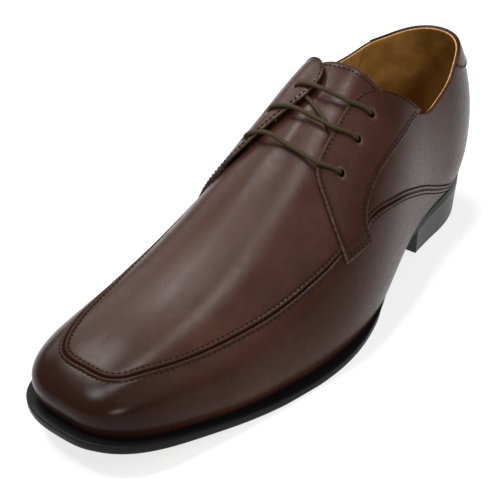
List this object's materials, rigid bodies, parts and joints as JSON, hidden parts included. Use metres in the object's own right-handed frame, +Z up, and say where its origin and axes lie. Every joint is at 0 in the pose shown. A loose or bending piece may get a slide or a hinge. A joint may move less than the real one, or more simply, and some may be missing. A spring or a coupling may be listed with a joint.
{
  "type": "leather derby shoe",
  "caption": "Brown leather lace-up derby shoe with an apron toe, hollow upper open at the collar, thin black sole and block heel, standing empty on its sole.",
  "frame": {"origin": "centre of the bounding box on the floor", "axes": "+Z up, -Y towards the toe, +X towards the outer side of the foot"},
  "size_m": [0.1067, 0.3096, 0.1163],
  "materials": {
    "upper_leather": "smooth dark brown calf leather with a fine grain and a satin shine",
    "tongue_leather": "the same brown leather, slightly duller",
    "sole": "satin black edge",
    "heel": "satin black",
    "insole_leather": "matt tan lining leather",
    "lace": "waxed olive-brown round cord"
  },
  "bodies": {
    "root": {"outsole": "sole", "heel": "heel", "upper": "upper_leather", "tongue": "tongue_leather", "insole": "insole_leather", "facing_outer": "upper_leather", "facing_inner": "upper_leather", "back_strap": "upper_leather", "lace_bar_upper": "lace", "lace_bar_middle": "lace", "lace_bar_lower": "lace", "lace_slant": "lace"}
  },
  "joints": []
}
